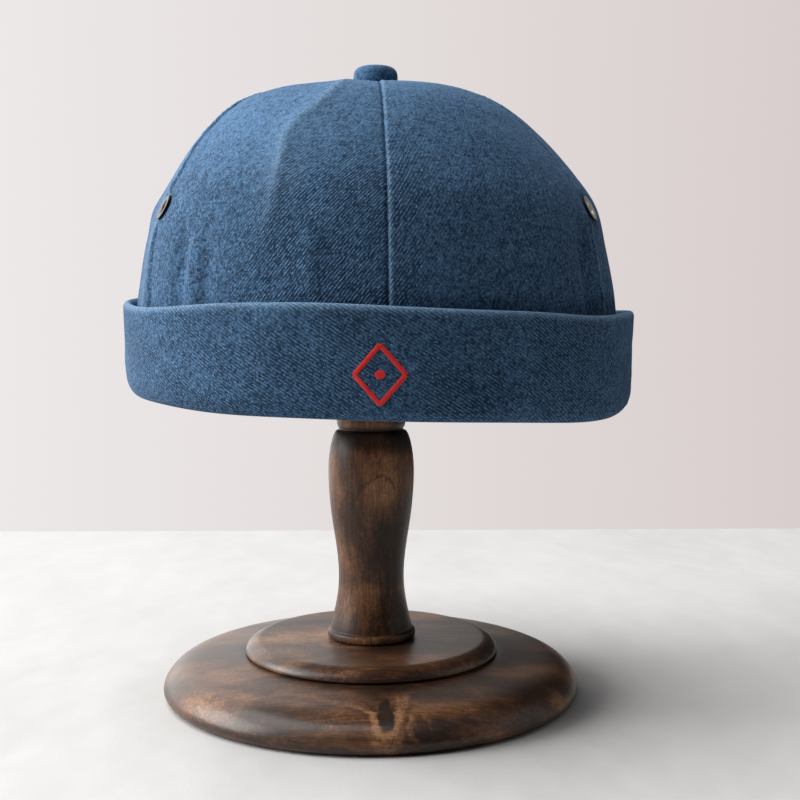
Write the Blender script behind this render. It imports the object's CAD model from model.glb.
"""Docker cap on a turned wooden hat stand: cloth, thread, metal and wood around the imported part.

Metres, +Z up, the cap's front towards -Y, the origin at the centre of the stand's foot. Angles round the cap
start at the front and grow towards +X. Tables are in millimetres, as a pattern cutter would write them.
"""

import math

import bpy
from mathutils import Matrix, Vector, noise


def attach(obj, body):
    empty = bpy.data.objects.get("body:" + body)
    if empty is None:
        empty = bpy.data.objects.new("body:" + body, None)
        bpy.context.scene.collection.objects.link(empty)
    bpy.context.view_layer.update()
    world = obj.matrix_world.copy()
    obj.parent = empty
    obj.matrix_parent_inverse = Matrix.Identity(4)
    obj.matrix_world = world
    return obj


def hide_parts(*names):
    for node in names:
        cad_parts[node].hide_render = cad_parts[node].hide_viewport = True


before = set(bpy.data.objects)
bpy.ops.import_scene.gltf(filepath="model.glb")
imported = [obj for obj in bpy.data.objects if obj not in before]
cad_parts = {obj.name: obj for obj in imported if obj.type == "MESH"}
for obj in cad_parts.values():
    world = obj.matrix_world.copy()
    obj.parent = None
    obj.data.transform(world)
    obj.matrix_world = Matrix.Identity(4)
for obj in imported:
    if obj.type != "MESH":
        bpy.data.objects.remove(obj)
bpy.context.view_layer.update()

MM = 0.001
RADIANS = math.pi / 180

# ---- camera

CAMERA_PLACE = (0, -0.480, 0.146)
CAMERA_TURN = (86 * RADIANS, 0, -1.33 * RADIANS)
CAMERA_LENS = 56.25  # mm, on a sensor of the width below
CAMERA_SENSOR = 36

lens = bpy.data.cameras.new("camera")
lens.lens = CAMERA_LENS
lens.sensor_width = CAMERA_SENSOR
lens.clip_start = 0.01
camera = bpy.data.objects.new("camera", lens)
camera.location = CAMERA_PLACE
camera.rotation_euler = CAMERA_TURN
bpy.context.collection.objects.link(camera)
bpy.context.scene.camera = camera

# ---- pattern of the cap

GAP = 0.3  # kept between the parts of the pattern that touch
SEAM_GAP = 0.08  # left between two panels where they are sewn
CLOTH = 1.6  # thickness of the crown's cloth
CROWN_X = 1.5  # the cap sits this far to the right on its stand
RIM_Z = 116  # height of the crown's lower edge
SEAMS = (2.5, 62.4, 123, 182.5, 238, 292.8)  # angles of the six seams
PUFF = 0.6  # how far a panel's middle stands out
PUFF_RADIUS = 45  # the puff dies away inside this
APEX_ROW = 10.8  # the row of the table below where the panels end, under the button

# The crown from its rim up: height above the rim, half width left, half width right, half depth
CROWN = (
    (0, 89.2, 92, 93.2),
    (18, 89.2, 91.4, 93),
    (36, 88.2, 89.8, 92),
    (54, 85.4, 86.4, 89.5),
    (68, 81.2, 82.9, 85.5),
    (80, 75, 75, 78.5),
    (91, 68.2, 65.3, 70.5),
    (101, 59.2, 54.6, 60.5),
    (107.8, 49, 43.8, 48.5),
    (111.2, 37, 32, 33),
    (113.3, 18, 16.5, 16),
    (114.6, 0, 0, 0),
)
UP, LEFT, RIGHT, DEEP = range(4)

# Folds of the crown just above the cuff: angle, from height, to height, fade, half width, how far out
FOLDS = (
    (-43.5, 24, 62, 14, 4.5, 1),
    (-48, 14, 62, 14, 4.5, -2.2),
    (-38.5, 14, 60, 14, 2.4, -1.1),
    (-13.5, 30, 64, 14, 3.6, 1),
    (56.5, 12, 66, 16, 5.5, -3.4),
    (-84, 56, 77, 11, 8, 1.1),
)

# The crease down the front left panel, as heights and angles
CREASE = (
    (150, -23.4), (175, -23.4), (185, -22.9), (198, -23.2), (204, -24), (208, -22.4), (211, -20), (214.5, -16.5),
    (220, -13.5), (228, -11), (240, -8),
)
CREASE_LIFT = 2.2  # how far it stands out
CREASE_SIDE = 6.5  # how far its sides slope away
CREASE_BLUNT = 0.7  # how soft its top is, squared
CREASE_RISES = (158, 190)  # it starts and is whole at these heights
CREASE_ENDS = (32, 58)  # it is gone and whole at these radii

# Cuff: half widths outside, and its tilted edges as mean height, lift to the right, lift to the front
CUFF_WALL = 3.2  # the doubled band
CUFF_X = 3.1
CUFF = (0, 95.6, 96, 98)
CUFF_RADIUS = 96  # the same all round, to measure along it
CUFF_FLARE = 0.8  # how much further out its top stands
CUFF_BOTTOM = (113.2, -2.8, -0.9)
CUFF_TOP = (148.8, -2, -0.3)
# Where its edges sag, or with a minus stand up: angle, half width, drop
TOP_DIPS = ((-104, 16, -1.2), (-57, 21, 2.6), (-12, 10, -0.3), (18, 20, 0.9), (50, 18, 2))
BOTTOM_DIPS = ((-36, 17, 0.7), (56, 22, 1.7))
TOP_ROUND = 2.2  # height of the rolled top
FOLD_ROUND = 8.4  # height of the lower fold's outer curve
FOLD_FLOOR = 2.6  # inside, this far above the fold's lowest cloth. The crown ends a gap above it
FOLD_LOW = 0.35  # where the fold is lowest, as a share of the way from inside to outside
TURN_IN_WALL = 1.4
TURN_IN_HEIGHT = 9
CUFF_PLY = 1.35

EYELET_ROW = 3.9  # their row in the crown's table
EYELETS = {"left": -64.4, "right": 65.2}  # their angles
EYELET_HOLE = 3.3  # radius of the hole in the cloth
EYELET_LEAN = 3 * RADIANS  # its front edge stands off the cloth
EYELET_TILT = 5 * RADIANS  # and it faces a little higher than the cloth round it
EYELET_SUNK = 0.6  # how deep its seat is pressed in
EYELET_PRESS = (5, 8.5)  # flat inside the first radius and free outside the second
EYELET_BED = 0.12  # the pressed cloth lies this far out from the seat


def along(rows, column, place):
    """One column of a table at a place along it, on a smooth curve."""
    last = len(rows) - 1

    def at(k):
        if k < 0:
            return 2 * rows[0][column] - rows[1][column]
        if k > last:
            return 2 * rows[last][column] - rows[last - 1][column]
        return rows[k][column]

    i = min(int(math.floor(place)), last - 1)
    t = place - i
    a, b, c, d = at(i - 1), at(i), at(i + 1), at(i + 2)
    return b + 0.5 * t * (c - a + t * (2 * a - 5 * b + 4 * c - d + t * (3 * (b - c) + d - a)))


def bell(distance, half):
    return math.exp(-((distance / half) ** 2))


def ramp(value, low, high):
    """0 below low, 1 above high, and a smooth step between."""
    t = min(1, max(0, (value - low) / (high - low)))
    return t * t * (3 - 2 * t)


def wander(place, size, seed=0):
    """Smooth noise of about -1 to 1 whose waves are about size long."""
    return noise.noise(Vector(place) / size + Vector((seed * 17.3, seed * 5.1, -seed * 9.7)))


def front_half(angle):
    """The same angle between -180 and 180 degrees."""
    return math.remainder(angle, 2 * math.pi)


def edge_height(edge, dips, angle):
    """The height of a tilted edge at an angle round the cap, with its sags."""
    mid, right, front = edge
    degrees = front_half(angle) / RADIANS
    sag = sum(drop * bell(degrees - at, half) for at, half, drop in dips)
    return mid + right * math.sin(angle) + front * math.cos(angle) - sag


def cuff_bottom(angle):
    return edge_height(CUFF_BOTTOM, BOTTOM_DIPS, angle)


def crown_form(angle, row):
    """A point of the crown's plain form, at an angle and a row of its table."""
    side = RIGHT if math.sin(angle) > 0 else LEFT
    rim_lift = cuff_bottom(angle) + FOLD_FLOOR + GAP - RIM_Z
    return Vector((
        CROWN_X + along(CROWN, side, row) * math.sin(angle),
        -along(CROWN, DEEP, row) * math.cos(angle),
        RIM_Z + along(CROWN, UP, row) + rim_lift * max(0, 1 - row / 2),
    ))


def crown_normal(angle, row):
    step = 0.01
    across = crown_form(angle + step, row) - crown_form(angle - step, row)
    up = crown_form(angle, row + step) - crown_form(angle, row - step)
    return across.cross(up).normalized()


def crease_away(angle, z, radius):
    """How far round the crown a point lies from the crease of the front left panel, or None past its ends."""
    for (low, first), (high, second) in zip(CREASE, CREASE[1:]):
        if low <= z <= high:
            at = first + (second - first) * (z - low) / (high - low)
            return (angle - at * RADIANS) * radius
    return None


def crease_lift(angle, form, radius):
    """Cloth that slopes away on both sides of the crease."""
    away = crease_away(angle, form.z, radius)
    if away is None:
        return 0
    ends = ramp(form.z, *CREASE_RISES) * ramp(radius, *CREASE_ENDS)
    return CREASE_LIFT * math.exp(-math.sqrt(away * away + CREASE_BLUNT) / CREASE_SIDE) * ends


def panel_lift(angle, row, share, radius):
    """How far a panel stands out from the plain form: the puff of its middle, the crease and the folds."""
    up, angle = along(CROWN, UP, row), front_half(angle)
    lift = PUFF * math.sin(math.pi * share) * min(1, radius / PUFF_RADIUS)
    lift += crease_lift(angle, crown_form(angle, row), radius)
    for at, start, end, fade, half, out in FOLDS:
        across = bell((angle - at * RADIANS) * radius, half)
        lift += out * across * ramp(up, start, start + fade) * (1 - ramp(up, end - fade, end))
    return lift


# ---- cloth

SEAM_GROOVE = 0.6  # how deep a panel's edge rolls into its seam
SEAM_ROLL = 0.38  # half width of that roll
SEAM_ROLL_UNDER = 0.55  # and on the side without the allowance
SEAM_RIDGE = 0.22  # how far the rolled edge stands up beside it
ALLOWANCE = 0.12  # how far the pressed allowance behind a seam lifts the cloth
STITCH = 2.6  # from stitch to stitch
STITCH_LINE = 1.1  # from the seam to the ridge and its stitches
WASHED_PANEL = 4  # the side panel whose edge has faded beside its seam
LIPPED_PANEL = 5  # the panel whose seam edge stands off the cloth
LIP = 0.75  # how far it does
LIP_REACH = 2.3  # from the seam to the lip's edge
LIP_SPREAD = 5.4  # and how much further that is at the cuff
LIP_STEP = 0.8  # how wide the step down from it is
PANEL_ACROSS = 104
PANEL_UP = 200
CROWDING = 0.72  # how much a panel's columns crowd towards its seams
COVERED = (146, 156)  # the cuff holds the crown below the first height, and it is slack above the second
SLACK = ((0.45, 46), (0.2, 17), (0.045, 5.5))  # how far the crown's cloth wanders, and over what length


def cloth_ease(place, clear):
    """How far tailored cloth wanders from its pattern."""
    broad, narrow, fine = (out * wander(place, size, seed) for seed, (out, size) in enumerate(SLACK))
    return (broad + narrow) * clear + fine


def seam_shape(distance, along_seam, height, seed, covered):
    """The roll into a seam. On the side that covers the allowance, a ridge, and the pucker that the stitches draw."""
    if not covered:
        wide = 2 if seed == WASHED_PANEL else 1
        return -SEAM_GROOVE * bell(distance, SEAM_ROLL_UNDER * wide) - 0.1 * bell(distance, 2.5)
    shape = -SEAM_GROOVE * bell(distance, SEAM_ROLL)
    shape += SEAM_RIDGE * bell(distance - STITCH_LINE, 0.7)
    shape += ALLOWANCE * ramp(distance, 0.8, 2.4) * (1 - ramp(distance, 4.6, 7.2))
    if seed == LIPPED_PANEL:
        edge = LIP_REACH + LIP_SPREAD * ramp(175 - height, 0, 28)
        lip = LIP * ramp(distance, 0.3, 1) * (1 - ramp(distance, edge, edge + LIP_STEP))
        lip -= 0.3 * bell(distance - edge - 1.2, 0.8)
        shape += lip * (1 - 0.8 * ramp(height, 218, 227))
    uneven = wander((along_seam, seed, 0), 9)
    drawn = math.sin(2 * math.pi * along_seam / STITCH + 2 * uneven) * bell(distance - STITCH_LINE, 1.1)
    slack = math.sin(2 * math.pi * along_seam / 9 + 3 * uneven) * bell(distance - 1.5, 4)
    return shape + 0.09 * drawn + 0.07 * slack


def panel_point(first, second, share, row, rise, seed):
    """Outer and inner points of a panel, its seam distance, and its place on the flat cloth."""
    angle = first + (second - first) * share
    form = crown_form(angle, row)
    facing = crown_normal(angle, row)
    radius = math.hypot(form.x - CROWN_X, form.y)
    width = (second - first) * radius
    lift = panel_lift(angle, row, share, radius) + cloth_ease(form, ramp(form.z, *COVERED))
    near = min(share, 1 - share) * width
    seam = seam_shape(near, rise, form.z, seed, share < 0.5) * ramp(radius, 6, 30)
    outer = form + facing * (lift + seam)
    inner = form + facing * (lift - CLOTH)
    return outer, inner, near, ((share - 0.5) * width, rise)


def woven(name, grid, closed=False):
    """A sheet of cloth with real thickness, from columns of outer point, inner point, flat place and wear."""
    columns, rows = len(grid), len(grid[0])
    cells = [cell for column in grid for cell in column]
    points = [cell[side] * MM for side in (0, 1) for cell in cells]
    under = len(cells)
    quads = []
    for i in range(columns if closed else columns - 1):
        n = (i + 1) % columns
        for j in range(rows - 1):
            a, b, c, d = i * rows + j, n * rows + j, n * rows + j + 1, i * rows + j + 1
            quads += (a, b, c, d), (under + d, under + c, under + b, under + a)
        a, b = i * rows, n * rows
        quads.append((a, under + a, under + b, b))
        a, b = a + rows - 1, b + rows - 1
        quads.append((a, b, under + b, under + a))
    if not closed:
        end = (columns - 1) * rows
        for j in range(rows - 1):
            quads.append((j, j + 1, under + j + 1, under + j))
            quads.append((end + j, under + end + j, under + end + j + 1, end + j + 1))
    mesh = bpy.data.meshes.new(name)
    mesh.from_pydata(points, [], quads)
    places = [(u * MM, v * MM) for _, _, (u, v), _ in cells]
    turn = places[-rows][0] + places[rows][0] - 2 * places[0][0]
    layer = mesh.uv_layers.new(name="cloth")
    for face in mesh.polygons:
        corners = [mesh.loops[k].vertex_index % under for k in face.loop_indices]
        wraps = closed and max(corners) // rows == columns - 1 and min(corners) // rows == 0
        for k, corner in zip(face.loop_indices, corners):
            u, v = places[corner]
            if wraps and corner // rows == 0:
                u += turn
            layer.data[k].uv = (u, v)
    worn = mesh.attributes.new("wear", "FLOAT", "POINT")
    worn.data.foreach_set("value", [cell[3] for cell in cells] * 2)
    mesh.validate()
    piece = bpy.data.objects.new(name, mesh)
    bpy.context.collection.objects.link(piece)
    return piece


def mode(name):
    bpy.ops.object.mode_set(mode=name)


def resize(size, height=0):
    """Sizes what is selected about a point on the Z axis."""
    bpy.ops.transform.resize(value=size, center_override=(0, 0, height))


def only(piece):
    """Selects one piece and nothing else."""
    bpy.ops.object.select_all(action="DESELECT")
    piece.select_set(True)
    bpy.context.view_layer.objects.active = piece


def smooth(piece, degrees=40):
    only(piece)
    bpy.ops.object.shade_smooth_by_angle(angle=degrees * RADIANS)


def eyelet_seat(side):
    """Where an eyelet sits: its centre on the crown's outer face, and the way the cloth faces there."""
    degrees = EYELETS[side]
    first, second = (SEAMS[5] - 360, SEAMS[0]) if side == "left" else (SEAMS[1], SEAMS[2])
    first, second = first * RADIANS, second * RADIANS
    share = (degrees * RADIANS - first) / (second - first)

    def at(across, up):
        angle, row = first + (second - first) * (share + across), EYELET_ROW + up
        form = crown_form(angle, row)
        radius = math.hypot(form.x - CROWN_X, form.y)
        return form + crown_normal(angle, row) * panel_lift(angle, row, share + across, radius)

    across = at(0.05, 0) - at(-0.05, 0)
    upward = at(0, 0.2) - at(0, -0.2)
    facing = across.cross(upward).normalized()
    facing.rotate(Matrix.Rotation(math.copysign(EYELET_TILT, -degrees), 3, "Y"))
    return at(0, 0) - facing * EYELET_SUNK, facing


def from_seat(place, centre, facing):
    """How far a place stands out from an eyelet's seat, and how it lies from the seat's middle along the cloth."""
    offset = place - centre
    out = offset.dot(facing)
    return out, offset - facing * out


def worn_pale(angle, share, near, rise, seed, outer):
    """How pale the cloth is rubbed: on the seams' ridges, behind the washed seam, and along the crease."""
    rubbed = 0
    if share < 0.5:
        half = 1.1 if seed == LIPPED_PANEL else 0.7
        rubbed = bell(near - 0.4 - half, half) * (0.65 + 0.7 * wander((rise, seed, near * 0.2), 2.4))
    elif seed == WASHED_PANEL:
        rubbed = 0.55 * ramp(near, 1, 2.5) * bell(near, 9)
    radius = outer.xy.length
    fold = crease_away(front_half(angle), outer.z, radius)
    if fold is not None and fold < 9:
        creased = 0.6 * bell(fold + 0.7, 1.5) + 0.16 * bell(min(fold + 2, 0), 9)
        rubbed = max(rubbed, creased * ramp(outer.z, 164, 200) * ramp(radius, 16, 34))
    return rubbed


def crown_panel(name, first, second, seed, eyelet):
    """One gore of the crown, from inside the cuff to the button's shank."""
    first, second = first * RADIANS, second * RADIANS
    seat = eyelet_seat(eyelet) if eyelet else None
    middle = (first + second) / 2
    rows = [APEX_ROW * j / PANEL_UP for j in range(PANEL_UP + 1)]
    rises, margins = [0], []
    for low, high in zip(rows, rows[1:]):
        rises.append(rises[-1] + (crown_form(middle, high) - crown_form(middle, low)).length)
    for row in rows:
        edge = crown_form(first, row)
        margins.append(math.asin(SEAM_GAP / 2 / math.hypot(edge.x - CROWN_X, edge.y)) / (second - first))
    grid = []
    for i in range(PANEL_ACROSS + 1):
        column, even = [], i / PANEL_ACROSS
        crowded = even - CROWDING * math.sin(2 * math.pi * even) / (2 * math.pi)
        for row, rise, margin in zip(rows, rises, margins):
            share = margin + (1 - 2 * margin) * crowded
            outer, inner, near, place = panel_point(first, second, share, row, rise, seed)
            if seat:
                facing = seat[1]
                (out, away), (under, _) = from_seat(outer, *seat), from_seat(inner, *seat)
                press = 1 - ramp(away.length, *EYELET_PRESS)
                outer -= facing * (out - EYELET_BED) * press
                inner -= facing * (under + CLOTH - EYELET_BED) * press
            rubbed = worn_pale(first + (second - first) * share, share, near, rise, seed, outer)
            column.append((outer, inner, place, rubbed))
        grid.append(column)
    piece = woven(name, grid)
    # an eyelet presses on the panels on both sides of its seam, and its hole is in one of them
    if eyelet and first < EYELETS[eyelet] * RADIANS < second:
        pierce(piece, *seat)
    smooth(piece)
    return piece


def pierce(piece, centre, facing):
    """Opens the cloth for an eyelet's barrel, on a true circle."""
    only(piece)
    mesh = piece.data
    inside = []
    for face in mesh.polygons:
        out, away = from_seat(face.center / MM, centre, facing)
        inside.append(away.length < EYELET_HOLE and abs(out) < 6)
    for items in (mesh.vertices, mesh.edges):
        items.foreach_set("select", [False] * len(items))
    mesh.polygons.foreach_set("select", inside)
    bpy.context.tool_settings.mesh_select_mode = (False, False, True)
    mode("EDIT")
    bpy.ops.mesh.delete(type="FACE")
    bpy.ops.mesh.select_mode(type="EDGE")
    bpy.ops.mesh.select_non_manifold(extend=False)
    bpy.ops.mesh.bridge_edge_loops()
    mode("OBJECT")
    for vertex in mesh.vertices:
        _, away = from_seat(vertex.co / MM, centre, facing)
        if vertex.select and away.length > 0.5:
            vertex.co += away.normalized() * (EYELET_HOLE - away.length) * MM


crown_pieces = []
for seed, (place, node, first, second, eyelet) in enumerate((
    ("front_right", "panel_front_right", SEAMS[0], SEAMS[1], "right"),
    ("side_right", "panel_side_right", SEAMS[1], SEAMS[2], "right"),
    ("back_right", "panel_back_right", SEAMS[2], SEAMS[3], None),
    ("back_left", "panel_back_left", SEAMS[3], SEAMS[4], None),
    ("side_left", "panel_side_left", SEAMS[4] - 360, SEAMS[5] - 360, "left"),
    ("front_left", "panel_front_left", SEAMS[5] - 360, SEAMS[0], "left"),
)):
    piece = crown_panel("crown_" + place, first, second, seed, eyelet)
    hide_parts(node)
    crown_pieces.append(piece)

# ---- cuff

CUFF_SEGMENTS = 560
# Rows of its cloth: the turn-in, the lower fold, the outer face, the rolled top and the inner face
TURN_IN_ROWS, FOLD_ROWS, FACE_ROWS, TOP_ROWS, BACK_ROWS = 6, 16, 24, 12, 12
RUBBED_TOP = 2.6  # the cloth is rubbed pale this far down from the rolled top


def cuff_top(angle):
    uneven = 0.25 * wander((math.sin(angle), math.cos(angle), 3), 0.45)
    return edge_height(CUFF_TOP, TOP_DIPS, angle) + uneven


def ring_point(middle, halves, inward, angle, z):
    """A point on one of the cap's rings, some way inward of its half widths."""
    side = RIGHT if math.sin(angle) > 0 else LEFT
    across, deep = halves[side] - inward, halves[DEEP] - inward
    return Vector((middle + across * math.sin(angle), -deep * math.cos(angle), z))


def band_point(angle, inward, z):
    return ring_point(CUFF_X, CUFF, inward, angle, z)


def turn_in_point(angle, inward, z):
    return ring_point(CROWN_X, CROWN[0], CLOTH + GAP + inward, angle, z)


def band_bulge(angle, z, bottom, top):
    """How far out the cuff's face lies: its flare, the soft roll of a doubled band, and slack cloth."""
    share = (z - bottom) / (top - bottom)
    place = band_point(angle, 0, z)
    flare = CUFF_FLARE * (1 - ramp(share, 0.55, 0.97))
    roll = 0.3 * math.sin(math.pi * share) - 0.1
    slack = 0.4 * wander(place, 34, 3) + 0.16 * wander((place.x, place.y, z * 2.4), 13, 4)
    fine = 0.05 * wander(place, 5, 5)
    return (roll + slack) * ramp(share, 0.18, 0.4) * (1 - ramp(share, 0.8, 1)) + fine - flare


def cuff_path(angle):
    """The cloth's visible face at an angle: down the turn-in, under, up the face, over, and down the inside."""
    bottom, top = cuff_bottom(angle), cuff_top(angle)
    floor = bottom + FOLD_FLOOR
    path = []
    for k in range(TURN_IN_ROWS + 1):
        t = k / TURN_IN_ROWS
        z = floor + TURN_IN_HEIGHT + (bottom + FOLD_ROUND / 2 - floor - TURN_IN_HEIGHT) * t
        path.append(turn_in_point(angle, TURN_IN_WALL + 0.5 * (1 - t), z))
    inside, outside = turn_in_point(angle, TURN_IN_WALL, bottom), band_point(angle, CUFF_FLARE, bottom)
    for k in range(1, FOLD_ROWS):
        turn = math.pi * k / FOLD_ROWS
        if turn < math.pi / 2:
            share, lift = FOLD_LOW * (1 - math.cos(turn)), FOLD_ROUND / 2 * (1 - math.sin(turn))
        else:
            share, lift = FOLD_LOW - (1 - FOLD_LOW) * math.cos(turn), FOLD_ROUND * (1 - math.sin(turn)) ** 0.92
        point = inside.lerp(outside, share)
        point.z = bottom + lift
        path.append(point)
    low, high = bottom + FOLD_ROUND, top - TOP_ROUND
    for k in range(FACE_ROWS + 1):
        z = low + (high - low) * k / FACE_ROWS
        path.append(band_point(angle, -band_bulge(angle, z, bottom, top), z))
    for k in range(1, TOP_ROWS):
        turn = math.pi * k / TOP_ROWS
        inward, z = CUFF_WALL / 2 * (1 - math.cos(turn)), top - TOP_ROUND * (1 - math.sin(turn))
        path.append(band_point(angle, inward, z))
    for k in range(BACK_ROWS + 1):
        z = high + (floor + 0.7 - high) * k / BACK_ROWS
        path.append(band_point(angle, CUFF_WALL, z))
    return path


def turned_up_cuff():
    """The band, as one strip of cloth that is folded and sewn at the back."""
    paths = [cuff_path(2 * math.pi * i / CUFF_SEGMENTS - math.pi) for i in range(CUFF_SEGMENTS)]
    rows = len(paths[0])
    grid = []
    for i, path in enumerate(paths):
        angle = 2 * math.pi * i / CUFF_SEGMENTS - math.pi
        from_seam = (math.pi - abs(angle)) * CUFF_RADIUS
        before, after = paths[i - 1], paths[(i + 1) % CUFF_SEGMENTS]
        length, column = 0, []
        for j, point in enumerate(path):
            if j:
                length += (point - path[j - 1]).length
            around = after[j] - before[j]
            ahead = path[min(j + 1, rows - 1)] - path[max(j - 1, 0)]
            facing = around.cross(ahead).normalized()
            outer = point + facing * (0.25 * bell(from_seam - 3, 2) - 0.9 * bell(from_seam, 0.9))
            place = (angle * (CUFF_RADIUS + 0.5), length)
            worn = 0.9 * max(0, min(1, (point.z - cuff_top(angle)) / RUBBED_TOP + 1))
            column.append((outer, point - facing * CUFF_PLY, place, worn))
        grid.append(column)
    piece = woven("turned_up_cuff", grid, closed=True)
    smooth(piece, 60)
    return piece


cuff = turned_up_cuff()
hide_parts("cuff")

# ---- turned and pressed pieces


def turned(name, rings, sides, filled=True):
    """A circle is extruded along Z ring by ring, and each ring is sized. Unfilled, its section closes on itself."""
    radius, height = rings[0]
    fill = "NGON" if filled else "NOTHING"
    bpy.ops.mesh.primitive_circle_add(vertices=sides, radius=radius * MM, fill_type=fill)
    piece = bpy.context.active_object
    piece.name = piece.data.name = name
    mode("EDIT")
    bpy.ops.mesh.select_mode(type="FACE" if filled else "EDGE")
    bpy.ops.transform.translate(value=(0, 0, height * MM))
    for next_radius, next_height in rings[1:]:
        rise = (0, 0, (next_height - height) * MM)
        bpy.ops.mesh.extrude_region_move(TRANSFORM_OT_translate={"value": rise})
        if next_radius < 0.01:
            bpy.ops.mesh.merge(type="CENTER")
            break
        size = next_radius / radius
        resize((size, size, 1), next_height * MM)
        radius, height = next_radius, next_height
    bpy.ops.mesh.select_all(action="SELECT")
    if not filled:
        bpy.ops.mesh.remove_doubles(threshold=0.00001)
    bpy.ops.mesh.normals_make_consistent(inside=False)
    mode("OBJECT")
    return piece


def subdivided(piece):
    """Rounds a piece by one level of subdivision and applies it."""
    only(piece)
    modifier = piece.modifiers.new("subsurf", "SUBSURF")
    modifier.levels = modifier.render_levels = 1
    bpy.ops.object.modifier_apply(modifier=modifier.name)
    return piece


# The stand's profiles, as radius and height
FOOT_PROFILE = [
    (20, 0), (60, 0), (74, 0), (76.2, 0.05), (77.4, 0.35), (78.7, 1.1), (79.6, 2.2), (80, 3.6),
    (79.6, 5.3), (78.6, 7.1), (77.2, 8.9), (75.4, 10.5), (73.1, 11.8), (70.3, 12.7),
    (66.5, 13.3), (61, 13.9), (56, 14.5), (53, 14.9), (50.6, 15.2), (48.5, 15.35), (44, 15.4), (20, 15.4),
]
TIER_PROFILE = [
    (20, 15.7), (44, 15.7), (47.8, 15.7), (48.5, 15.75), (48.8, 16), (48.8, 16.6), (48.6, 17.2),
    (48.1, 18), (47.3, 18.8), (46.2, 19.5), (44.9, 20.1), (43.9, 20.4), (43.2, 20.5), (42, 20.5),
    (38, 20.5), (20, 20.5),
]
STEM_FOOT = [
    (8, 20.8), (14, 20.8), (16.2, 20.8), (16.7, 20.9), (16.95, 21.3), (17.05, 22), (17, 22.8),
    (16.85, 23.4), (16.5, 23.8), (16.1, 23.95), (15.85, 24.05), (15.75, 24.35),
]
BALUSTER = [
    (15.7, 25), (15.25, 27), (14.6, 29.6), (13.8, 33), (12.9, 38), (12.5, 44), (12.75, 50), (13.6, 57),
    (14.6, 63), (15.5, 69), (16.2, 76), (16.6, 83), (16.5, 89), (15.9, 94), (15, 97.8), (14.2, 99.9),
]
STEM_NECK = [
    (13.6, 100.7), (13.1, 101.0), (12.55, 101.1), (12.3, 101.4), (12.35, 101.8), (12.8, 102.3), (13.2, 103.4),
    (13.3, 105), (13.2, 106.6), (12.9, 107.9), (12.3, 108.4), (11.3, 108.8), (11, 109.4), (11, 112),
    (11, 150), (11, 200), (11, 204.5), (11, 205.4), (10.6, 205.7), (8, 205.7),
]

base = subdivided(turned("base", FOOT_PROFILE, 96))
tier = subdivided(turned("tier", TIER_PROFILE, 96))
stem = subdivided(turned("stem", STEM_FOOT + BALUSTER + STEM_NECK, 64))
for piece, node in ((base, "stand_base"), (tier, "stand_tier"), (stem, "stand_stem")):
    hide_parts(node)
    smooth(piece, 50)

BUTTON_X = 1.9
BUTTON_Z = 231
BUTTON_SIDES = 96
GATHERED = 0.966  # every third line of its side is drawn in to this share
BUTTON_PROFILE = [
    (1.5, -1.7), (2.3, -1.7), (2.5, -1.5), (2.5, -0.3), (2.8, 0), (4.5, 0.15), (6.8, 0.05), (8, 0.25),
    (8.5, 0.8), (8.65, 1.7), (8.68, 2.8), (8.66, 4), (8.5, 5.1), (8.05, 6.1), (7.3, 6.85), (6.2, 7.35),
    (4.8, 7.6), (3.2, 7.72), (1.5, 7.77), (0, 7.78),
]
button = turned("covered_button", BUTTON_PROFILE, BUTTON_SIDES)
only(button)
bpy.context.tool_settings.mesh_select_mode = (True, False, False)
# its cloth is gathered underneath, so every third line of the side is drawn in
for vertex in button.data.vertices:
    turn = math.atan2(vertex.co.y, vertex.co.x) % (2 * math.pi)
    line = round(turn * BUTTON_SIDES / (2 * math.pi))
    vertex.select = line % 3 == 0 and -0.1 * MM < vertex.co.z < 3.5 * MM and vertex.co.xy.length > 5 * MM
mode("EDIT")
resize((GATHERED, GATHERED, 1))
bpy.ops.mesh.select_all(action="SELECT")
bpy.ops.transform.translate(value=(BUTTON_X * MM, 0, BUTTON_Z * MM))
mode("OBJECT")
smooth(subdivided(button), 60)
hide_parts("top_button")

EYELET_STANDS = 0.1  # its profile's zero stands this far out from the seat
# A rolled rim outside, the barrel, and a washer inside, as radius and height
EYELET_PROFILE = [
    (2.35, -2.5), (2.6, -2.85), (3.2, -2.9), (3.9, -2.75), (4.2, -2.4), (4.1, -2.15), (3.6, -2.1),
    (3.05, -2.0), (2.9, -1.7), (2.9, 0.05), (3.1, 0.2), (4.5, 0.2), (4.7, 0.22), (4.76, 0.32), (4.77, 0.85),
    (4.7, 0.97), (4.5, 1.05), (4.1, 1.1), (3.3, 1.08), (2.8, 0.95), (2.5, 0.65), (2.37, 0.1), (2.35, -1.2),
]


def eyelet(side):
    """A two-part grommet, turned as a closed tube and set into the cloth."""
    piece = subdivided(turned(side + "_eyelet", EYELET_PROFILE + EYELET_PROFILE[:1], 48, filled=False))
    polished = piece.data.attributes.new("polished", "FLOAT", "POINT")
    for vertex, value in zip(piece.data.vertices, polished.data):
        away, height = vertex.co.xy.length / MM, vertex.co.z / MM
        value.value = 1 - ramp(away, 4.55, 4.72) * ramp(height, -0.1, 0.1)
    centre, facing = eyelet_seat(side)
    lean = Matrix.Rotation(math.copysign(EYELET_LEAN, EYELETS[side]), 4, "Z")
    turn = lean @ facing.to_track_quat("Z", "Y").to_matrix().to_4x4()
    piece.matrix_world = Matrix.Translation((centre + facing * EYELET_STANDS) * MM) @ turn
    only(piece)
    bpy.ops.object.transform_apply(location=True, rotation=True, scale=True)
    smooth(piece, 50)
    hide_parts("eyelet_" + side)
    return piece


eyelets = [eyelet("left"), eyelet("right")]

# ---- embroidered motif: a plain open lozenge and a dot

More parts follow.
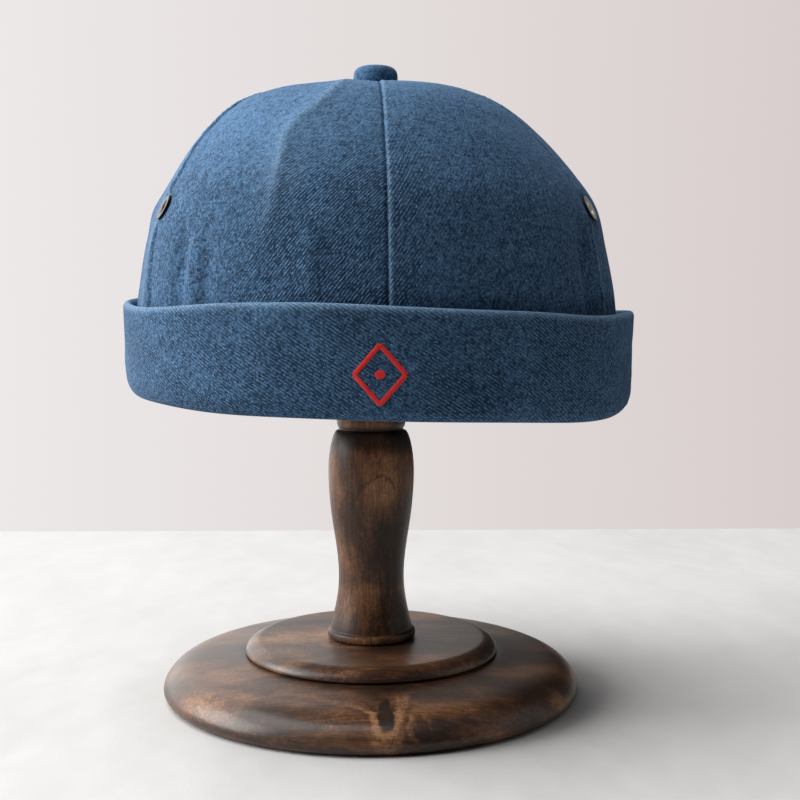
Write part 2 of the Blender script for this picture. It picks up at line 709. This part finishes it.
MOTIF_ANGLE = -0.2 * RADIANS
MOTIF_Z = 127
MOTIF_HALF = (8.2, 9.2)
MOTIF_DOT = 1.6  # the dot's radius
STITCH_STEP = 0.3  # from strand to strand
STROKE = 1.75  # how long a strand is
STRAND = (0.2, 0.22)  # its half width and half height


def one_stitch():
    """A strand of satin stitch, lying along X and tucked in at both ends."""
    bpy.ops.mesh.primitive_uv_sphere_add(segments=8, ring_count=6, radius=1)
    strand = bpy.context.active_object
    mode("EDIT")
    bpy.ops.transform.rotate(value=math.pi / 2, orient_axis="Y", center_override=(0, 0, 0))
    resize((STROKE / 2 * MM, STRAND[0] * MM, STRAND[1] * MM))
    mode("OBJECT")
    return strand


def on_cuff(across, up):
    """A point on the cuff's outer face, by millimetres from the motif's middle, and the way the cloth faces."""

    def at(a, z):
        bottom, top = cuff_bottom(a), cuff_top(a)
        return band_point(a, -band_bulge(a, z, bottom, top), z)

    angle, z = MOTIF_ANGLE + across / CUFF[DEEP], MOTIF_Z + up
    around = at(angle + 0.01, z) - at(angle - 0.01, z)
    upward = at(angle, z + 0.5) - at(angle, z - 0.5)
    return at(angle, z), around.normalized(), around.cross(upward).normalized()


def stitches():
    """Every strand as place and direction on the flat cloth, with its share of a full stroke's width."""
    wide, tall = MOTIF_HALF
    corners = [(0, tall), (wide, 0), (0, -tall), (-wide, 0)]
    for k in range(4):
        (x0, y0), (x1, y1) = corners[k], corners[(k + 1) % 4]
        length = math.hypot(x1 - x0, y1 - y0)
        count = int(length / STITCH_STEP)
        heading = math.atan2(y1 - y0, x1 - x0)
        for i in range(count):
            t = (i + 0.5) / count
            lean = 0.05 * math.sin(7.3 * i + k)
            yield x0 + (x1 - x0) * t, y0 + (y1 - y0) * t, heading + math.pi / 2 + lean, 1
    rows = int(2 * MOTIF_DOT / STITCH_STEP)
    for i in range(rows):
        x = -MOTIF_DOT + 2 * MOTIF_DOT * (i + 0.5) / rows
        yield x, 0, math.pi / 2, 2 * math.sqrt(MOTIF_DOT * MOTIF_DOT - x * x) / STROKE


def embroidered_motif():
    """The lozenge and its dot, as one piece of many strands that lie on the cuff."""
    strand = one_stitch()
    copies = []
    for x, y, heading, width in stitches():
        centre, around, facing = on_cuff(x, y)
        upward = facing.cross(around)
        run = around * math.cos(heading) + upward * math.sin(heading)
        side = facing.cross(run)
        copy = strand.copy()
        copy.data = strand.data.copy()
        bpy.context.collection.objects.link(copy)
        turn = Matrix((run * width, side, facing)).transposed().to_4x4()
        copy.matrix_world = Matrix.Translation((centre + facing * 0.1) * MM) @ turn
        copies.append(copy)
    bpy.data.objects.remove(strand)
    only(copies[0])
    for copy in copies:
        copy.select_set(True)
    bpy.ops.object.transform_apply(location=True, rotation=True, scale=True)
    bpy.ops.object.join()
    piece = bpy.context.active_object
    piece.name = piece.data.name = "embroidered_lozenge"
    smooth(piece, 80)
    return piece


motif = embroidered_motif()

# ---- materials


class Wire:
    """A socket of a tree being made. Arithmetic on it adds Math nodes."""

    def __init__(self, nodes, socket):
        self.nodes, self.socket = nodes, socket

    def maths(self, operation, *others):
        return self.nodes.maths(operation, self, *others)

    def __add__(self, other):
        return self.maths("ADD", other)

    def __radd__(self, other):
        return self.nodes.maths("ADD", other, self)

    def __sub__(self, other):
        return self.maths("SUBTRACT", other)

    def __rsub__(self, other):
        return self.nodes.maths("SUBTRACT", other, self)

    def __mul__(self, other):
        return self.maths("MULTIPLY", other)

    def __rmul__(self, other):
        return self.nodes.maths("MULTIPLY", other, self)

    def __truediv__(self, other):
        return self.maths("DIVIDE", other)

    def step(self, low, high, kind="SMOOTHSTEP"):
        """0 below low, 1 above high, and a step between."""
        values = {0: self, 1: low, 2: high}
        return self.nodes.node("ShaderNodeMapRange", {"interpolation_type": kind}, values)

    def fall(self, low, high):
        """1 below low and 0 above high."""
        return 1.0 - self.step(low, high)


class Nodes:
    """A node tree being made."""

    def __init__(self, tree):
        self.tree = tree

    def node(self, kind, settings=None, values=None, out=0):
        made = self.tree.nodes.new(kind)
        for key, value in (settings or {}).items():
            if key == "stops":
                for stop in list(made.color_ramp.elements)[1:]:
                    made.color_ramp.elements.remove(stop)
                for n, (place, colour) in enumerate(value):
                    stop = made.color_ramp.elements[0] if n == 0 else made.color_ramp.elements.new(place)
                    stop.position, stop.color = place, (*colour, 1)
            else:
                setattr(made, key, value)
        for key, value in (values or {}).items():
            self.feed(made.inputs[key], value)
        return Wire(self, made.outputs[out])

    def feed(self, socket, value):
        if isinstance(value, Wire):
            self.tree.links.new(value.socket, socket)
        elif isinstance(value, tuple) and len(value) == 3 and socket.type == "RGBA":
            socket.default_value = (*value, 1)
        else:
            socket.default_value = value

    def maths(self, operation, *values):
        return self.node("ShaderNodeMath", {"operation": operation}, dict(enumerate(values)))

    def mix(self, factor, first, second):
        return self.node("ShaderNodeMix", {"data_type": "RGBA"}, {0: factor, 6: first, 7: second}, 2)

    def vector(self, x, y, z=0.0):
        return self.node("ShaderNodeCombineXYZ", None, {0: x, 1: y, 2: z})

    def parts(self, vector):
        return [self.node("ShaderNodeSeparateXYZ", None, {0: vector}, k) for k in range(3)]

    def vectors(self, operation, *values, out=0):
        return self.node("ShaderNodeVectorMath", {"operation": operation}, dict(enumerate(values)), out)

    def noise(self, vector, scale=1.0, detail=2.0, rough=0.5, flat=False):
        settings = {"noise_dimensions": "2D" if flat else "3D"}
        values = {"Vector": vector, "Scale": scale, "Detail": detail, "Roughness": rough}
        return self.node("ShaderNodeTexNoise", settings, values)


class Finish(Nodes):
    """A material on one Principled shader, whose constants are set on its own sockets."""

    def __init__(self, name, **constants):
        self.material = bpy.data.materials.new(name)
        self.material.use_nodes = True
        super().__init__(self.material.node_tree)
        self.shader = self.tree.nodes["Principled BSDF"]
        self.drive(**constants)

    def drive(self, **inputs):
        for key, value in inputs.items():
            self.feed(self.shader.inputs[key.replace("_", " ")], value)

    def spread(self, name):
        """An attribute of the mesh, by its name."""
        return self.node("ShaderNodeAttribute", {"attribute_name": name}, None, 2)

    def place(self):
        """Object coordinates in millimetres."""
        return self.vectors("MULTIPLY", self.node("ShaderNodeTexCoord", None, None, 3), (1000, 1000, 1000))

    def bump(self, height, distance, strength):
        values = {"Height": height, "Distance": distance, "Strength": strength}
        self.drive(Normal=self.node("ShaderNodeBump", None, values))


# Dyed yarn where it is full, washed, and rubbed bare
INDIGO = (0.010, 0.027, 0.058)
BLUE = (0.079, 0.172, 0.310)
PALE = (0.24, 0.385, 0.56)


def denim(name, lean, spacing, mapped=True, washed_above=None, lighter=0.0):
    """Washed twill: leaning wales broken into floats, grains of indigo and bare weft, and rubbed edges.

    The lean is in degrees. The wales fade between the two heights of washed_above, and towards the cap's sides."""
    finish = Finish(name, Roughness=0.9, Sheen_Weight=0.12, Sheen_Roughness=0.45, Specular_IOR_Level=0.1)
    finish.drive(Sheen_Tint=(0.45, 0.65, 1))
    body = finish.place()
    x, y, z = finish.parts(body)
    if mapped:
        across, up, _ = finish.parts(finish.node("ShaderNodeUVMap", {"uv_map": "cloth"}))
        across, up = across * 1000, up * 1000
    else:
        across, up = x, z + y * 0.8
    s, c = math.sin(lean * RADIANS) / spacing, math.cos(lean * RADIANS) / spacing
    drift = finish.noise(body, 0.1, 2.0)
    wale = across * s - up * c + (drift - 0.5) * 0.8
    run = across * c + up * s
    rows = (wale * (2 * math.pi)).maths("SINE") * 0.5 + 0.5
    thread = rows * rows
    floats = finish.noise(finish.vector(wale * 1.3, run * 0.75), 1.0, 1.0, flat=True).step(0.42, 0.58)
    patches = finish.noise(body, 0.032, 2.0).step(0.38, 0.60)
    clear = 0.3 + 0.7 * patches
    washed = 0.0
    if washed_above:
        low, high = washed_above
        washed = z.step(low, high)
        clear = (1.0 - 0.9 * washed) * (1.0 - 0.75 * x.step(4.0, 22.0)) * x.step(-58.0, -24.0)
        clear = clear * (0.65 + 0.35 * patches)
    grains = finish.noise(finish.vector(across, up), 0.95, 2.0, 0.62, flat=True)
    flecks = finish.noise(body, 0.55, 1.0)
    bare = finish.noise(finish.vector(across, up, 7.0), 1.15, 1.0).step(0.58, 0.70)
    deep = finish.noise(finish.vector(across, up, 19.0), 1.0, 1.0).step(0.58, 0.72)
    cloud = finish.noise(body, 0.035, 3.0, 0.55)
    mottle = finish.noise(body, 0.26, 2.0, 0.6)
    twill = (thread * (0.1 + 1.3 * floats) - 0.3) * clear
    tone = 0.44 + lighter + twill + (grains - 0.5) * (1.25 - 0.3 * clear)
    tone = tone + (flecks - 0.5) * (0.9 - 0.3 * clear) + washed * 0.2
    shade = tone + (cloud - 0.5) * 0.4 + (mottle - 0.5) * 0.6
    colour = finish.mix(shade.step(-0.05, 1.05), INDIGO, BLUE)
    colour = finish.mix(bare * (0.14 + 0.3 * rows), colour, PALE)
    colour = finish.mix(deep * 0.5, colour, INDIGO)
    wear = finish.spread("wear")
    colour = finish.mix(wear * (0.2 + 0.35 * grains + 0.45 * thread * clear), colour, PALE)
    finish.drive(Base_Color=colour)
    finish.bump(tone, 0.0002, 0.9)
    return finish.material


# Stained walnut, from its darkest fibres to its palest: place on the ramp, and colour
WALNUT = (
    (0, (0.014, 0.008, 0.005)), (0.3, (0.046, 0.020, 0.010)), (0.55, (0.130, 0.056, 0.024)),
    (0.8, (0.265, 0.125, 0.056)), (1, (0.380, 0.200, 0.098)),
)


def walnut(name, grain, coat, shade, knots=(), marks=(), pale=(), stain=()):
    """Dark stained wood under satin varnish: stretched fibres, growth rings, pores, cloudy stain and knots.

    A mark or a pale patch is its middle, its reach along each axis, and its strength. A mark is a thin dark arch
    over its middle. A stain is a height and a shade."""
    finish = Finish(name, Coat_Weight=coat, Coat_Roughness=0.3, Specular_IOR_Level=0.25)
    body = finish.place()
    x, y, z = finish.parts(body)
    length, wide, thick = (x, y, z) if grain == "X" else (z, x, y)

    def fibres(run, side, detail, rough=0.5, deep=None):
        """Noise stretched along the grain."""
        stretched = finish.vector(length * run, wide * side, thick * (deep or side))
        return finish.noise(stretched, 1.0, detail, rough)

    swirl = fibres(0.03, 0.05, 2.0)
    depth = wide * 0.2 + thick * 0.45 + (swirl - 0.5) * 14
    ragged = finish.noise(body, 0.14, 3.0, 0.6)
    speckle = finish.noise(body, 0.75, 2.0, 0.7)
    fine = fibres(0.16, 1.6, 2.0, 0.7)

    def from_middle(middle, reach):
        offset = finish.vectors("DIVIDE", finish.vectors("SUBTRACT", body, middle), reach)
        return finish.vectors("LENGTH", offset, out=1) + (ragged - 0.5) * 1.1

    def far(u, v):
        return (u.maths("POWER", 2.0) + v.maths("POWER", 2.0)).maths("SQRT")

    heart, glow, bends = 0.0, 0.0, []
    for (side, over), (half, long), strength in knots:
        # a knot that lies over the front edge: side is along X, and over runs outward across the top, then down
        u = x - side + (ragged - 0.5) * 4.5
        v = (y * -1.0 - z * 2.0) * 0.384 - over + (swirl - 0.5) * 3
        above = (v * -1.0).maths("MAXIMUM", 0.0)
        below = v.maths("MAXIMUM", 0.0)
        left = (u * -1.0).maths("GREATER_THAN", 0.0)
        core = far(u / half * (1.0 + above * 0.11), v / long)
        round_it = far(u / (half * (1.0 + above * (0.05 + 0.42 * left))), below / (long * 0.95))
        heart = heart + core.fall(0.72, 1.1) * strength
        ring = round_it.step(0.85, 1.15) * round_it.fall(1.4, 2.5) * (0.35 + 0.65 * fine)
        fades = above.fall(4.0, 9.0)
        glow = glow + ring * fades * strength
        pull = round_it.fall(1.6, 3.4) * y.fall(-58.0, -52.0)
        bent = round_it * 6 + v * 0.5 + (fine - 0.5) * 3 + (ragged - 0.5) * 6
        bends.append((pull, bent))
        # short strokes that fan out beside it
        fan = (u * 1.1 - v * 0.35 + (ragged - 0.5) * 5).maths("SINE").step(0.1, 0.9)
        beside = u.step(4.5, 6.5) * u.fall(12.0, 17.0) * v.step(-1.0, 2.0)
        glow = glow + fan * beside * v.fall(6.0, 10.0) * 0.55 * strength
    for middle, reach, strength in marks:
        away = from_middle(middle, reach)
        line = away.step(0.84, 0.98) * away.fall(1.0, 1.14)
        heart = heart + line * z.step(middle[2], middle[2] + 2.0) * strength
    for middle, reach, strength in pale:
        glow = glow + from_middle(middle, reach).fall(0.3, 1.25) * strength
    rings = (depth * 0.8).maths("SINE") * 0.5 + 0.5
    for pull, bent in bends:
        rings = rings + pull * ((bent * 0.8).maths("SINE") * 0.5 + 0.5 - rings)
    fibre = fibres(0.05, 0.9, 4.0, 0.65)
    cloud = fibres(0.022, 0.04, 3.0, 0.6, 0.05)
    pores = fibres(0.22, 2.6, 1.0).step(0.62, 0.7)
    tone = 0.38 + (rings - 0.5) * 0.26 + (fibre - 0.5) * 0.7 + (cloud - 0.5) * 1.3
    tone = tone + (fine - 0.5) * 0.35 + (speckle - 0.5) * 0.45 + glow * (0.1 + 0.75 * speckle)
    if stain:
        stops = [(height / 120, (dark, dark, dark)) for height, dark in stain]
        bands = finish.node("ShaderNodeValToRGB", {"stops": stops}, {0: z / 120 + (swirl - 0.5) * 0.08})
        tone = tone + (finish.parts(bands)[0] - 0.5) * 0.9
    tints = [(place, tuple(part * shade for part in tint)) for place, tint in WALNUT]
    colour = finish.node("ShaderNodeValToRGB", {"stops": tints}, {0: tone})
    colour = finish.mix(pores * 0.5, colour, (0.012, 0.008, 0.006))
    if knots or marks:
        colour = finish.mix(heart * 0.85, colour, (0.014, 0.009, 0.007))
    finish.drive(Base_Color=colour, Roughness=0.4 + fine * 0.16)
    finish.bump(fibre * 0.6 + fine * 0.4 - pores * 0.5, 0.00012, 0.6)
    return finish.material


def nickel(name, low, high):
    """Nickel that is rubbed bright on its face and tarnished black down its outer edge."""
    finish = Finish(name, Metallic=1.0)
    body = finish.place()
    patch = finish.noise(body, 0.7, 3.0, 0.6)
    scratch = finish.noise(body, 4.0, 2.0, 0.7)
    polished = finish.spread("polished")
    bright = finish.mix(patch.step(0.3, 0.7), low, high)
    colour = finish.mix(polished, (0.02, 0.02, 0.022), bright)
    finish.drive(Base_Color=colour, Roughness=0.52 + patch * 0.15)
    finish.bump(scratch, 0.00003, 0.4)
    return finish.material


def red_thread():
    finish = Finish("red_thread", Sheen_Weight=0.3, Sheen_Roughness=0.4, Specular_IOR_Level=0.45)
    body = finish.place()
    strand = finish.noise(body, 2.2, 2.0, 0.6)
    patch = finish.noise(body, 0.4, 2.0, 0.5)
    colour = finish.mix(strand, (0.50, 0.008, 0.010), (0.95, 0.022, 0.020))
    colour = finish.mix((patch - 0.4) * 0.5, colour, (0.66, 0.02, 0.02))
    finish.drive(Base_Color=colour, Roughness=0.5 + strand * 0.12)
    finish.bump(strand, 0.00005, 0.5)
    return finish.material


crown_denim = denim("crown_denim", 52, 1.02, washed_above=(184, 212))
cuff_denim = denim("cuff_denim", -30, 1.02, lighter=0.03)
button_denim = denim("button_denim", 45, 1.0, mapped=False, washed_above=(200, 210))
BASE_KNOTS = (((4.8, 18.2), (2.9, 6.2), 1.0),)
BASE_PALE = (
    ((-12, -71, 9), (14, 7, 5), 0.4),
    ((-52, -54, 7), (22, 16, 6), 0.55),
    ((67, -42, 7), (6, 7, 5), 0.5),
    ((-30, -50, 14), (26, 12, 5), 0.4),
    ((24, -74, 6), (24, 9, 7), -0.4),
    ((-14, -79, 3), (20, 6, 5), -0.4),
    ((50, -52, 8), (18, 20, 8), -0.3),
)
TIER_PALE = (
    ((-14, -44, 17), (12, 6, 5), 0.4),
    ((-8, -47, 18), (5, 4, 3), 0.4),
    ((-24, -8, 21), (24, 24, 4), 0.8),
)
STEM_PALE = (((0, -17, 22.4), (20, 8, 1.9), 0.7),)
STEM_MARKS = (((3, -16, 78.5), (6.6, 9, 6.2), 0.7),)
STEM_STAIN = (
    (20, 0.42), (25, 0.28), (33, 0.45), (41, 0.58), (45, 0.34), (66, 0.32), (74, 0.48), (80, 0.66), (92, 0.66),
    (96, 0.22), (101, 0.16), (104, 0.66),
)
base_wood = walnut("base_walnut", "X", 0.5, 0.9, knots=BASE_KNOTS, pale=BASE_PALE)
tier_wood = walnut("tier_walnut", "X", 0.5, 0.95, pale=TIER_PALE)
stem_wood = walnut("stem_walnut", "Z", 0.14, 1.12, marks=STEM_MARKS, pale=STEM_PALE, stain=STEM_STAIN)
dull_nickel = nickel("dull_nickel", (0.10, 0.098, 0.092), (0.17, 0.167, 0.158))
rubbed_nickel = nickel("rubbed_nickel", (0.55, 0.54, 0.53), (0.8, 0.79, 0.77))
thread = red_thread()


def dress(piece, material):
    piece.data.materials.clear()
    piece.data.materials.append(material)


dressed = (
    *((panel, crown_denim, "crown_denim") for panel in crown_pieces),
    (cuff, cuff_denim, "cuff_denim"),
    (button, button_denim, "crown_denim"),
    (eyelets[0], dull_nickel, "eyelet_metal"),
    (eyelets[1], rubbed_nickel, "eyelet_metal"),
    (base, base_wood, "stand_wood"),
    (tier, tier_wood, "stand_wood"),
    (stem, stem_wood, "stand_wood"),
    (motif, thread, "embroidery"),
)
for piece, material, slot in dressed:
    dress(piece, material)
    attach(piece, "root")
for slot in bpy.data.objects["stand_head"].material_slots:
    slot.material = stem_wood

# ---- floor, light and air

TABLE = ((-1.1, 0.55), (-0.45, 0.353))  # its edges along X and along Y

bpy.ops.mesh.primitive_plane_add(size=1, location=(0, 0, 0))
table = bpy.context.active_object
table.name = "table"
mode("EDIT")
(left, right), (front, back) = TABLE
resize((right - left, back - front, 1))
bpy.ops.transform.translate(value=((left + right) / 2, (front + back) / 2, 0))
mode("OBJECT")
table_cloth = Finish("table_cloth", Roughness=0.9, Specular_IOR_Level=0.2)
body = table_cloth.place()
soft = table_cloth.noise(body, 0.012, 3.0)
weave = table_cloth.noise(body, 0.8, 2.0)
table_cloth.drive(Base_Color=table_cloth.mix(soft, (0.52, 0.517, 0.513), (0.565, 0.562, 0.558)))
table_cloth.bump(soft * 6 + weave * 0.1, 0.001, 0.6)
dress(table, table_cloth.material)

AIM = Vector((0, 0, 0.13))  # the middle of the scene, which every light faces


def window(name, azimuth, elevation, distance, size, watts, colour):
    """A soft rectangular light that faces the cap from an angle round it and above the table."""
    light = bpy.data.lights.new(name, "AREA")
    light.shape, light.size, light.size_y = "RECTANGLE", *size
    light.energy, light.color = watts, colour
    a, e = azimuth * RADIANS, elevation * RADIANS
    back = Vector((math.sin(a) * math.cos(e), -math.cos(a) * math.cos(e), math.sin(e)))
    lamp = bpy.data.objects.new(name, light)
    lamp.location = AIM + back * distance
    lamp.rotation_euler = back.to_track_quat("Z", "Y").to_euler()
    bpy.context.collection.objects.link(lamp)


window("key", -88, 22, 2.2, (1.6, 1.4), 70, (1, 0.985, 0.97))
window("ceiling", -86, 70, 2.0, (1.8, 1.8), 45, (1, 0.99, 0.985))
window("far_ceiling", 60, 75, 2.0, (1.8, 1.8), 3.5, (1, 0.99, 0.985))
window("right_wall", 85, 20, 1.8, (1.4, 1.2), 3, (1, 0.96, 0.93))


def room():
    """A pale room: to the eye it is an even wall, and as light it is bright behind the cap and dim elsewhere."""
    world = bpy.data.worlds.new("room")
    world.use_nodes = True
    bpy.context.scene.world = world
    air = Nodes(world.node_tree)
    x, y, _ = air.parts(air.node("ShaderNodeTexCoord"))
    wall = air.mix(x.step(-0.35, 0.35, "LINEAR"), (0.86, 0.835, 0.83), (0.68, 0.61, 0.605))
    far_side = air.mix(x.step(-0.45, 0.2, "LINEAR"), (2.3, 2.24, 2.2), (0.03, 0.028, 0.028))
    glow = air.mix(y.step(0.1, 0.75), (0.008, 0.009, 0.011), far_side)
    seen = air.node("ShaderNodeLightPath")  # 1 on the camera's own rays
    air.feed(air.tree.nodes["Background"].inputs["Color"], air.mix(seen, glow, wall))


room()
bpy.context.scene.view_settings.view_transform = "Standard"
